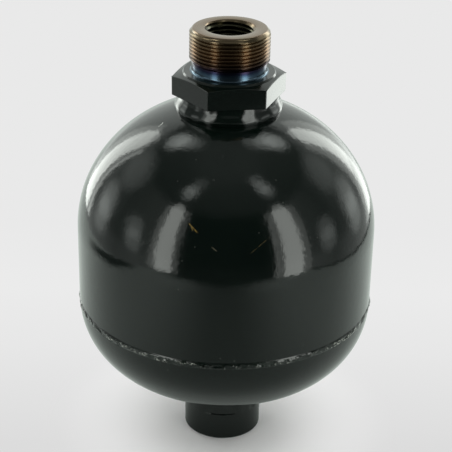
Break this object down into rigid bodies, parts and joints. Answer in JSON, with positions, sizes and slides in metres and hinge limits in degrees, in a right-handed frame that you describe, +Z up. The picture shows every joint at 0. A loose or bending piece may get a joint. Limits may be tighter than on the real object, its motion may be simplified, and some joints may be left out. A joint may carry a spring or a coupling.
{
  "type": "welded bladder accumulator",
  "caption": "Compact welded steel hydraulic accumulator with an inner rubber bladder: threaded hexagon fluid port on top, domed black body, gas charging boss as its foot.",
  "frame": {"origin": "centre of the gas boss's foot face, under the middle of the vessel", "axes": "+Z up the vessel's axis to the fluid port; one pair of the hexagon's flats is square to Y"},
  "size_m": [0.1278, 0.1278, 0.1879],
  "materials": {
    "black_enamel": "gloss black enamel sprayed over welded steel",
    "port_steel": "turned steel: enamelled black from the hexagon down, bare and heat-tinted bronze on the nipple",
    "plated_steel": "zinc-plated screw",
    "seal": "moulded seal",
    "bladder_rubber": "moulded nitrile rubber",
    "inner_steel": "plain turned steel"
  },
  "bodies": {
    "vessel": {"upper_shell": "black_enamel", "lower_shell": "black_enamel", "girth_weld": "black_enamel", "fluid_port": "port_steel", "port_weld": "black_enamel", "gas_boss": "black_enamel", "boss_weld": "black_enamel", "charging_screw": "plated_steel", "charging_screw_seal": "seal", "bladder": "bladder_rubber", "retaining_ring": "inner_steel"},
    "button": {"valve_button": "inner_steel"}
  },
  "joints": [
    {"name": "bladder_stroke", "type": "slide", "parent": "vessel", "child": "button", "axis": [0, 0, -1], "range_m": [0, 0.05], "stiffness_N_per_m": 120, "springref_m": -0.02, "deforming": ["bladder"]}
  ]
}
